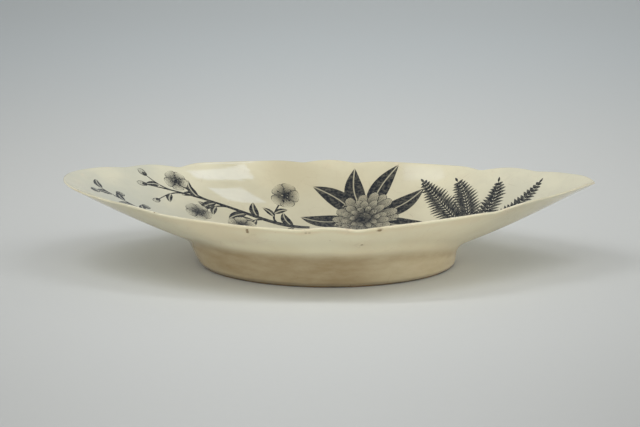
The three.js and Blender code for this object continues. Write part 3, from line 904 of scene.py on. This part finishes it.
class DISH_OT_glaze(bpy.types.Operator):
    """Make the two coats of glaze: over the dish, and in the recess of its foot"""

    bl_idname = "dish.glaze"
    bl_label = "Make Glaze"

    def execute(self, context):
        colours = context.scene.dish.colours
        size = context.scene.dish.size
        loft = DishLoft(size)
        wander = size.glaze_edge_unevenness * slow_waves(loft.angle, GLAZE_EDGE_WAVES, HAND_SEED)
        edge = size.bare_edge + wander

        rings, marks = self.coat_dish(loft, edge)
        finish = glaze_finish("cream_glaze", colours, FRONT_CHIPS)
        coat = mesh_piece("glazed_surface", *skin(rings), finish, marks)
        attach(coat, "root")
        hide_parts("glaze_coat")

        rings, marks = self.coat_recess(loft, edge)
        finish = glaze_finish("recess_glaze", colours, ())
        coat = mesh_piece("glazed_recess", *skin(rings), finish, marks)
        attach(coat, "root")
        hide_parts("recess_glaze")
        return {"FINISHED"}

    def coat_dish(self, loft, edge):
        """Rings and marks of the coat over the inside, the lip, the flank, the cove and the foot's wall."""
        inside, stations = loft.inside_rings(WALL_RINGS)
        lip = loft.lip_rings()
        flank = loft.flank_rings(FLANK_RINGS)
        cove = loft.cove_rings(loft.outer)
        wall = loft.rings_down(loft.outer, edge)
        clay = [*inside, *lip, *flank, *cove, *wall]
        rings = [*lifted(clay, self.thicknesses(clay, loft.size.glaze)), *clay[::-1]]
        counts = [len(part) for part in (inside, lip, flank, cove, wall)]

        def over(*parts):
            """Marks of every ring, from each part's values or from its only one."""
            values = [np.broadcast_to(part, count) for part, count in zip(parts, counts)]
            return ring_marks(rings, np.concatenate(values))

        down_flank = np.arange(counts[2]) / counts[2]
        down_cove = np.linspace(0, 1, counts[3])
        down_wall = np.linspace(0, 1, counts[4] + 1)[1:]
        near_lip = smooth(np.concatenate([[-1], stations]), LIP_WEAR[0], 1)
        past_lip = smooth(down_flank, LIP_WEAR[1], 0)
        crease_end = smooth(down_wall, CREASE_END, 0) * CREASE_DIRT_AND_SHADE[1][-1]
        # Darkening of the foot: stain of use and painted shade under the dish
        stained = [np.zeros(len(ring)) for ring in (*inside, *lip)]
        stained += [self.stain(loft, ring) for ring in (*flank, *cove, *wall)]
        # Handling wear and painted shade on the outside towards both tips
        handled = [np.zeros(len(ring)) for ring in inside]
        handled += [smooth(np.abs(ring[:, 0]), *END_HANDLING_AND_SHADE_FADE) for ring in (*lip, *flank, *cove, *wall)]
        return rings, {
            "inside": over(1, np.linspace(1, 0, counts[1]), 0, 0, 0),
            "lip": over(near_lip, 1, past_lip, 0, 0),
            # a warmer tint down the flank under the lip, with painted shade
            "brim": over(0, 0, np.interp(down_flank, *BRIM_TINT_AND_SHADE), 0, 0),
            # dirt and painted shade in the crease
            "crease": over(0, 0, 0, np.interp(down_cove, *CREASE_DIRT_AND_SHADE), crease_end),
            "foot": np.concatenate([*stained, *stained[::-1]]),
            "handled": np.concatenate([*handled, *handled[::-1]]),
        }

    def coat_recess(self, loft, edge):
        """Rings and marks of the coat inside the foot."""
        underside = loft.underside_rings()
        cove = loft.cove_rings(loft.recess)
        wall = loft.rings_down(loft.recess, edge)
        clay = [*underside, *cove, *wall]
        rings = [*clay, *lifted(clay, self.thicknesses(clay, -loft.size.glaze))[::-1]]
        # Darker most in the middle of the cove inside the foot, and more towards the bottom of its wall
        in_cove = RECESS_COVE_DARKENING * np.sin(np.linspace(0, math.pi, len(cove)))
        on_wall = np.linspace(*RECESS_WALL_DARKENING, len(wall))
        stained = np.concatenate([np.zeros(len(underside)), in_cove, on_wall])
        return rings, {"foot": ring_marks(rings, stained)}

    def thicknesses(self, rings, glaze):
        """Thickness of a coat on each ring, which thins out on the last ones."""
        thicknesses = np.full(len(rings), glaze)
        thicknesses[-2:] *= EDGE_THINNING
        return thicknesses

    def stain(self, loft, ring):
        """How far the foot is darkened at each point of a ring, by stain of use and painted shade under the
        dish: not at all above the crease, fully below it.
        """
        border = loft.outer.corner[:, 2].copy()
        for along, width, rise in FOOT_DARKENING_TIDES:
            border += rise * MM * np.exp(-((loft.outer.corner[:, 0] / MM - along) / width) ** 2)
        return smooth(ring[:, 2] - border, FOOT_DARKENING_EDGE, -FOOT_DARKENING_EDGE)


class Ink:
    """Strokes of the print, drawn in plan in millimetres and laid on the glaze as one thin film."""

    def __init__(self, glaze, seed):
        points = [point.co for point in glaze.data.vertices]
        self.tree = BVHTree.FromPolygons(points, [face.vertices for face in glaze.data.polygons])
        self.draw = np.random.default_rng(seed)
        self.points = []
        self.faces = []
        self.marks = {"inset": [], "vein": [], "tone": [], "rib": []}
        self.strokes = 0

    def stroke(self, middle, half, tone, ribbed, layer):
        """Lays one stroke along a line of plan points, with its half-width and its tone at each."""
        half = np.maximum(half, STROKE_LEAST)
        along = np.gradient(middle, axis=0)
        left = units(np.column_stack([-along[:, 1], along[:, 0]]))
        across = np.linspace(-1, 1, STROKE_COLUMNS)
        off = half[:, None] * across
        plan = middle[:, None, :] + left[:, None, :] * off[..., None]
        spots = []
        for x, y in plan.reshape(-1, 2) * MM:
            place, normal, _, _ = self.tree.ray_cast(Vector((x, y, RAY_HEIGHT)), Vector((0, 0, -1)))
            if place is None:
                raise RuntimeError(f"a stroke runs off the dish at {x / MM:.1f}, {y / MM:.1f} mm")
            spots.append((place, normal))
        places = np.array([place for place, _ in spots])
        normals = np.array([normal for _, normal in spots])
        lift = FILM_LIFT + FILM_LAYER * (layer + self.strokes % STROKE_TURNS / STROKE_TURNS)
        start = sum(len(part) for part in self.points)
        self.points += [places + normals * lift, places - normals * FILM_SINK]
        self.faces += self.box_faces(len(half), start)
        run = distances(middle)
        marks = {
            "inset": half[:, None] - np.abs(off),
            "vein": run[:, None] + np.abs(off) * HATCH_SLANT,
            "tone": tone[:, None] + 0 * off,
            "rib": np.abs(off) if ribbed else NO_RIB + 0 * off,
        }
        for mark, values in marks.items():
            self.marks[mark] += [values.ravel(), values.ravel()]
        self.strokes += 1

    def box_faces(self, rows, start):
        """Faces of a closed slab whose top and bottom are grids of rows of points."""
        here = np.arange(rows * STROKE_COLUMNS).reshape(rows, STROKE_COLUMNS) + start
        corners = [here[:-1, :-1], here[1:, :-1], here[1:, 1:], here[:-1, 1:]]
        top = np.stack(corners, axis=-1).reshape(-1, 4)
        bottom = top[:, ::-1] + rows * STROKE_COLUMNS
        edge = np.concatenate([here[:, 0], here[-1, 1:], here[-2::-1, -1], here[0, -2:0:-1]])
        below = edge + rows * STROKE_COLUMNS
        walls = np.column_stack([below, np.roll(below, -1), np.roll(edge, -1), edge])
        return [*top.tolist(), *bottom.tolist(), *walls.tolist()]

    def blade(self, base, tip, width, tones, outline=LEAF, bend=0.0, ribbed=False, layer=1):
        """One leaf, petal or berry from its base to its tip, bent to the left by a share of its length."""
        base, tip = np.array(base, float), np.array(tip, float)
        run = tip - base
        rows = max(BLADE_ROWS, int(np.linalg.norm(run) / STROKE_STEP) + BLADE_END_ROWS)
        at = (1 - np.cos(np.linspace(0, math.pi, rows))) / 2
        left = np.array([-run[1], run[0]])
        middle = base + run * at[:, None] + left * (bend * np.sin(at * math.pi))[:, None]
        rise, fall = outline
        peak = rise / (rise + fall)
        profile = (at / peak) ** rise * ((1 - at) / (1 - peak)) ** fall
        self.stroke(middle, width / 2 * profile, between(tones[0], tones[1], at), ribbed, layer)

    def stem(self, controls, start_width, end_width, layer=0):
        """A dark line along a cubic curve. Returns points on it and the way it runs at each."""
        controls = [np.array(control, float) for control in controls]
        coarse = cubic(np.linspace(0, 1, STEM_SAMPLES)[:, None], *controls)
        rows = max(STEM_ROWS, int(distances(coarse)[-1] / STROKE_STEP))
        at = np.linspace(0, 1, rows)
        middle = cubic(at[:, None], *controls)
        self.stroke(middle, between(start_width, end_width, at) / 2, np.full(rows, SOLID), False, layer)
        return middle, units(np.gradient(middle, axis=0))

    def spot_on(self, stem, at):
        """Point on a stem at a share of its length, and the angle that it runs at there."""
        middle, ways = stem
        rows = np.arange(len(middle)) / (len(middle) - 1)
        way = plan_at(at, rows, ways)
        return plan_at(at, rows, middle), math.atan2(way[1], way[0])

    def twig(self, stem, at, end, width):
        """A thin stem that leaves another one smoothly and bends to its end."""
        spot, angle = self.spot_on(stem, at)
        end = np.array(end, float)
        reach = np.linalg.norm(end - spot)
        first = spot + heading(angle) * reach * 0.4
        return self.stem((spot, first, between(first, end, 0.55), end), width, width * 0.45)

    def leaf(self, base, tip, width, bend=0.0, tones=(1.35, 1.0), layer=1):
        self.blade(base, tip, width, tones, LEAF, bend, True, layer)

    def leaf_on(self, stem, at, turn, length, layer=1):
        """A leaf on a stem, turned away from it by some degrees."""
        spot, angle = self.spot_on(stem, at)
        tip = spot + heading(angle + math.radians(turn)) * length
        self.leaf(spot, tip, length * 0.42, -math.copysign(0.1, turn), layer=layer)

    def dot(self, centre, radius, tones=(SOLID, SOLID), layer=6):
        reach = np.array([0.6, 0.8]) * radius
        centre = np.array(centre, float)
        self.blade(centre - reach, centre + reach, radius * 2, tones, ROUND, layer=layer)

    def blossom(self, centre, radius, layer=4):
        """Five round petals with stamens."""
        centre = np.array(centre, float)
        first = self.draw.uniform(0, 2 * math.pi)
        for petal in range(5):
            way = heading(first + petal * 2 * math.pi / 5 + self.draw.normal(0, 0.07))
            reach = radius * self.draw.uniform(0.92, 1.06)
            base = centre + way * radius * 0.1
            tip = centre + way * reach
            self.blade(base, tip, radius * 1.02, (1.15, 0.12), PETAL, layer=layer + petal % 2)
        for stamen in range(7):
            way = heading(first + stamen * 2 * math.pi / 7 + 0.3)
            end = centre + way * radius * self.draw.uniform(0.42, 0.58)
            self.blade(centre, end, radius * 0.07, (SOLID, SOLID), layer=layer + 2)
            self.dot(end, radius * 0.06, layer=layer + 3)
        self.dot(centre, radius * 0.15, layer=layer + 3)

    def bud(self, base, way, size, layer=3):
        """A closed bud in a dark cup."""
        base = np.array(base, float)
        self.blade(base, base + way * size, size * 0.75, (0.6, 0.1), (0.6, 0.6), layer=layer)
        cup = base - way * size * 0.1
        self.blade(cup, base + way * size * 0.5, size * 0.55, (SOLID, 1.0), layer=layer + 1)

    def bud_on(self, stem, size):
        """A bud at the end of a stem."""
        spot, angle = self.spot_on(stem, 1)
        self.bud(spot, heading(angle), size)

    def open_flower(self, centre, radius):
        """Three rows of petals round a dark eye."""
        centre = np.array(centre, float)
        for row, (count, reach, width) in enumerate(((17, 1.0, 0.34), (14, 0.74, 0.29), (10, 0.48, 0.23))):
            first = self.draw.uniform(0, 1)
            for petal in range(count):
                way = heading((first + petal) * 2 * math.pi / count + self.draw.normal(0, 0.05))
                end = centre + way * radius * reach * self.draw.uniform(0.9, 1.05)
                base = centre + way * radius * 0.08
                bend = self.draw.normal(0, 0.04)
                level = 2 + 2 * row + petal % 2
                self.blade(base, end, radius * width, (1.35, 0.42), (1.1, 0.4), bend=bend, layer=level)
        self.dot(centre, radius * 0.2, (SOLID, 0.75), layer=9)

    def frond(self, controls, length):
        """A fern frond: a stem with paired narrow leaves that get shorter to the tip."""
        middle, ways = self.stem(controls, 0.95, 0.3, layer=3)
        run = distances(middle)
        for place in np.arange(run[-1] * 0.14, run[-1] * 0.99, 2.15):
            at = place / run[-1]
            spot = plan_at(place, run, middle)
            way = plan_at(place, run, ways)
            facing = math.atan2(way[1], way[0])
            size = length * (at + 0.1) ** 0.45 * (1 - at) ** 0.75 * 1.55 + 1.2
            for side in (1, -1):
                tip = spot + heading(facing + side * math.radians(58)) * size * self.draw.uniform(0.9, 1.08)
                self.blade(spot, tip, 1.75, (1.25, 0.8), bend=-side * 0.1, layer=1 + (side > 0))
        end = middle[-1]
        self.blade(end, end + ways[-1] * 3, 1.2, (1.25, 0.8), layer=2)

    def piece(self, name, finish):
        marks = {mark: np.concatenate(values) for mark, values in self.marks.items()}
        return mesh_piece(name, np.vstack(self.points), self.faces, finish, marks, FILM_CORNER)


def heading(angle):
    return np.array([math.cos(angle), math.sin(angle)])


def ink_finish(colours):
    """Blue-black engraver's print under the glaze: dark outlines, and fine lines for the tones."""
    shader = GlazeShader("printed_ink", colours)
    tone = shader.mark("tone")
    lines = shader.maths("DIVIDE", shader.maths("PINGPONG", shader.mark("vein"), HATCH), HATCH)
    hatched = shader.step(shader.maths("SUBTRACT", lines, tone), 0.2, -0.2)
    outlined = shader.step(shader.mark("inset"), 0.5, 0.22)
    covered = shader.maths("MAXIMUM", hatched, outlined)
    rib = shader.step(shader.mark("rib"), 0.2, 0.45, 0.35, 1.0)
    uneven = shader.step(shader.noise(1.6 * MM, 3.0, 0.6), 0.3, 0.6, 0.86, 1.0)
    covered = shader.times(covered, rib, uneven)
    return shader.gloss(shader.blend(covered, shader.cream(1.0), colours.ink), INK_IOR)


def draw_blossom_branch(ink):
    branch = ink.stem(((-10, 28), (-34, 28), (-52, 44), (-93, 32)), 3.2, 0.7, layer=2)
    for at, end, radius in (
        (0.2, (-23, 51), 7.8),
        (0.3, (-44, 23), 7.0),
        (0.56, (-66, 24), 6.8),
        (0.68, (-79, 43), 6.2),
    ):
        twig = ink.twig(branch, at, end, 1.3)
        ink.leaf_on(twig, 0.4, 50, 8)
        ink.leaf_on(twig, 0.5, -50, 8)
        ink.blossom(end, radius)
    for at, end in ((0.82, (-86, 23)), (0.88, (-94, 39)), (0.06, (-22, 24))):
        twig = ink.twig(branch, at, end, 1.0)
        ink.leaf_on(twig, 0.45, 45, 8)
        ink.bud_on(twig, 4.8)
    for at, turn, length in (
        (0.12, -55, 12), (0.38, -60, 11), (0.46, 55, 12), (0.66, 55, 11), (0.76, -55, 10),
    ):
        ink.leaf_on(branch, at, turn, length)
    ink.bud_on(branch, 5)


def draw_open_flower(ink):
    centre = np.array([18, 36])
    stalk = ink.stem((centre, (12, 22), (2, 12), (-14, 6)), 1.5, 2.0)
    for turn, length in ((20, 27), (58, 29), (98, 27), (140, 29), (178, 27), (-22, 26)):
        way = heading(math.radians(turn))
        base = centre + way * 6
        ink.leaf(base, base + way * length, 10.5, ink.draw.choice((-0.09, 0.09)))
    ink.leaf_on(stalk, 0.62, 55, 17)
    ink.leaf_on(stalk, 0.75, -55, 16)
    ink.open_flower(centre, 17)


def draw_fern_fronds(ink):
    base = (70, 4)
    for first, second, end, length in (
        ((62, 18), (58, 34), (49, 51), 9.5),
        ((69, 20), (71, 30), (66, 44), 9.0),
        ((77, 14), (84, 20), (86, 32), 8.0),
        ((82, 5), (94, 8), (105, 19), 7.0),
        ((80, -3), (94, -8), (106, -1), 6.5),
    ):
        ink.frond((base, first, second, end), length)


def draw_berry_sprig(ink):
    sprig = ink.stem(((-80, -6), (-92, 4), (-102, 2), (-117, 10)), 1.4, 0.6)
    for at, turn in ((0.12, 45), (0.28, -45), (0.44, 45), (0.6, -45), (0.76, 45), (0.9, -40)):
        ink.leaf_on(sprig, at, turn, 9)
    for at, end in (
        (0.2, (-85, -7)), (0.36, (-91, 8)), (0.52, (-101, -3)), (0.68, (-104, 11)), (0.84, (-115, 1)),
    ):
        ink.twig(sprig, at, end, 0.7)
        ink.dot(end, 2.3, (SOLID, 0.3), layer=4)


def draw_leaf_sprig(ink):
    sprig = ink.stem(((-56, -22), (-26, -50), (10, -24), (50, -40)), 1.8, 0.6)
    for step, at in enumerate(np.arange(0.08, 0.95, 0.075)):
        ink.leaf_on(sprig, at, 48 if step % 2 else -48, ink.draw.uniform(11, 15))
    for at, end, radius in ((0.2, (-27, -50), 7), (0.55, (16, -47), 7.4), (0.36, (-14, -22), 6.2)):
        ink.twig(sprig, at, end, 1.2)
        ink.blossom(end, radius)
    ink.bud_on(sprig, 5)


class DISH_OT_print(bpy.types.Operator):
    """Print the inside with a blossom branch, an open flower, fern fronds and two sprigs"""

    bl_idname = "dish.print"
    bl_label = "Make Print"

    def execute(self, context):
        glaze = bpy.data.objects["glazed_surface"]
        finish = ink_finish(context.scene.dish.colours)
        for count, (name, motif) in enumerate((
            ("print_blossom_branch", draw_blossom_branch),
            ("print_open_flower", draw_open_flower),
            ("print_fern_fronds", draw_fern_fronds),
            ("print_berry_sprig", draw_berry_sprig),
            ("print_leaf_sprig", draw_leaf_sprig),
        )):
            ink = Ink(glaze, PRINT_SEED + count)
            motif(ink)
            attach(ink.piece(name, finish), "root")
        return {"FINISHED"}


def paper_finish(stage):
    """Pale paper with a painted pool of lamp light in a band along the view, painted shade in front of the
    dish, and painted falloff and cooler light far behind it.
    """
    shader = Shader("seamless_paper")
    fibre = shader.noise(4 * MM, 3.0, 0.6)
    # A painted pool of lamp light that widens with the distance
    half = shader.maths("MULTIPLY_ADD", shader.across, LIGHT_POOL_GROWTH, LIGHT_POOL_HALF)
    half = shader.maths("MAXIMUM", half, LIGHT_POOL_LEAST)
    aside = shader.maths("MULTIPLY_ADD", shader.across, LIGHT_POOL_LEAN, shader.along)
    aside = shader.maths("POWER", shader.maths("DIVIDE", aside, half), 2.0)
    light_pool = shader.maths("DIVIDE", 1.0, shader.maths("MULTIPLY_ADD", aside, LIGHT_POOL_FALL, 1.0))
    light_pool = shader.maths("MAXIMUM", light_pool, LIGHT_POOL_DARKEST)
    # Painted shade in front of the dish and painted falloff behind it
    near = shader.step(shader.across, *NEAR_PAINTED_SHADE)
    far = shader.step(shader.across, *FAR_PAINTED_FALLOFF)
    tint = shader.times(near, far, shader.step(fibre, 0, 1, 0.985, 1), light_pool)
    # A cooler colour far behind the dish: painted cool light
    colour_there = shader.blend(shader.step(shader.across, *FAR_COOL_LIGHT_START), stage.floor, stage.far_floor_cool_light)
    base = shader.blend(tint, (0, 0, 0), colour_there)
    return shader.finish(base, 0.85, [(fibre, 0.02 * MM)])


class DISH_OT_stage(bpy.types.Operator):
    """Make the stage: camera, soft boxes, white room and seamless paper"""

    bl_idname = "dish.stage"
    bl_label = "Make Stage"

    def execute(self, context):
        stage = context.scene.dish.stage
        self.place_camera(context.scene, stage)
        self.hang_lamps(context.scene, stage)
        self.light_room(context.scene, stage)
        self.roll_out_paper(stage)
        context.scene.view_settings.view_transform = "Standard"
        return {"FINISHED"}

    def place_camera(self, scene, stage):
        data = bpy.data.cameras.new("camera")
        data.lens = stage.lens
        data.sensor_width = SENSOR_WIDTH
        camera = bpy.data.objects.new("camera", data)
        scene.collection.objects.link(camera)
        back = Vector((0, -math.cos(stage.elevation), math.sin(stage.elevation)))
        up = Vector((0, math.sin(stage.elevation), math.cos(stage.elevation)))
        target = Vector((0, 0, stage.target_height))
        aim = target + Vector((1, 0, 0)) * stage.aim_right + up * stage.aim_up
        camera.location = target + back * stage.distance
        camera.rotation_mode = "QUATERNION"
        turn = (aim - camera.location).to_track_quat("-Z", "Y")
        camera.rotation_quaternion = turn @ Quaternion((0, 0, 1), stage.roll)
        scene.camera = camera

    def hang_lamps(self, scene, stage):
        """A long lamp on each side of the dish and a soft box overhead, all turned to the dish."""
        for name, along, back, sides, strength in (
            ("left_lamp", -stage.lamp_spread, SIDE_LAMP_BACK, SIDE_LAMP, stage.left_lamp),
            ("right_lamp", stage.lamp_spread, SIDE_LAMP_BACK, SIDE_LAMP, stage.right_lamp),
            ("soft_box", 0, SOFT_BOX_BACK, SOFT_BOX, stage.soft_box),
        ):
            lamp = self.add_lamp(scene, name, (along, back, stage.lamp_height), *sides, strength)
            lamp.rotation_mode = "QUATERNION"
            lamp.rotation_quaternion = (-lamp.location).to_track_quat("-Z", "Y")
        for count, (place, width, depth, turn, part) in enumerate(GLINT_STRIPS, 1):
            lamp = self.add_lamp(scene, f"glint_strip_{count}", place, width, depth, stage.glint * part)
            lamp.rotation_euler.z = math.radians(turn)
            lamp.data.color = stage.glint_tint

    def add_lamp(self, scene, name, place, width, depth, strength):
        """An oblong lamp that faces down, of an even radiance."""
        data = bpy.data.lights.new(name, "AREA")
        data.shape = "RECTANGLE"
        data.size = width
        data.size_y = depth
        data.energy = strength * math.pi * width * depth
        lamp = bpy.data.objects.new(name, data)
        lamp.location = place
        scene.collection.objects.link(lamp)
        return lamp

    def light_room(self, scene, stage):
        """White walls, brightest at the sides, under a darker ceiling. Only haze is seen or mirrored."""
        world = bpy.data.worlds.new("white_room")
        world.use_nodes = True
        scene.world = world
        room = Nodes(world.node_tree)
        parts = room.node("ShaderNodeSeparateXYZ")
        room.join(parts.inputs[0], room.node("ShaderNodeTexCoord").outputs["Generated"])
        right, back, up = parts.outputs
        sides = room.times(room.maths("ABSOLUTE", right), stage.side_glow)
        sides = room.maths("MULTIPLY_ADD", right, stage.right_glow, sides)
        front = room.maths("MAXIMUM", room.times(back, -stage.front_glow), 0.0)
        low = room.step(up, *WALL_TOP, 1.0, 0.0)
        front = room.times(front, room.step(up, *FRONT_TOP, 1.0, 0.0))
        walls = room.maths("MULTIPLY_ADD", sides, low, front)
        ceiling = room.step(up, *WALL_TOP, 0.0, stage.ceiling_glow)
        glow = room.maths("ADD", walls, ceiling)
        paths = room.node("ShaderNodeLightPath").outputs
        seen = room.maths("MAXIMUM", paths["Is Camera Ray"], paths["Is Transmission Ray"])
        seen = room.maths("MAXIMUM", seen, paths["Is Glossy Ray"])
        background = world.node_tree.nodes["Background"]
        room.join(background.inputs["Color"], room.blend(seen, stage.room, stage.haze))
        strength = room.maths("MULTIPLY_ADD", seen, room.maths("SUBTRACT", 1.0, glow), glow)
        room.join(background.inputs["Strength"], strength)

    def roll_out_paper(self, stage):
        """A wide round sheet of paper under the dish."""
        turns = np.linspace(0, 2 * math.pi, PAPER_SIDES + 1)[:-1]
        rings = [np.column_stack([r * np.cos(turns), r * np.sin(turns), 0 * turns]) for r in PAPER_RADII]
        points, faces = skin(rings)
        faces.append(list(range(PAPER_SIDES)))
        paper = mesh_piece("seamless_paper", points, faces, paper_finish(stage))


class DISH_PT_panel(bpy.types.Panel):
    """Lists the dish's operators and settings"""

    bl_idname = "DISH_PT_panel"
    bl_label = "Lobed Oval Dish"
    bl_space_type = "VIEW_3D"
    bl_region_type = "UI"
    bl_category = "Dish"

    def draw(self, context):
        for operator in OPERATORS:
            self.layout.operator(operator.bl_idname)
        settings = context.scene.dish
        for group in (settings.size, settings.colours, settings.stage):
            box = self.layout.box()
            for name in group.__annotations__:
                box.prop(group, name)


OPERATORS = (DISH_OT_clay, DISH_OT_glaze, DISH_OT_print, DISH_OT_stage)
CLASSES = (DishSize, DishColours, DishStage, DishSettings, *OPERATORS, DISH_PT_panel)


def register():
    for kind in CLASSES:
        bpy.utils.register_class(kind)
    bpy.types.Scene.dish = PointerProperty(type=DishSettings)


def unregister():
    del bpy.types.Scene.dish
    for kind in reversed(CLASSES):
        bpy.utils.unregister_class(kind)


def main():
    register()
    bpy.ops.dish.clay()
    bpy.ops.dish.glaze()
    bpy.ops.dish.print()
    bpy.ops.dish.stage()


if __name__ == "__main__":
    main()
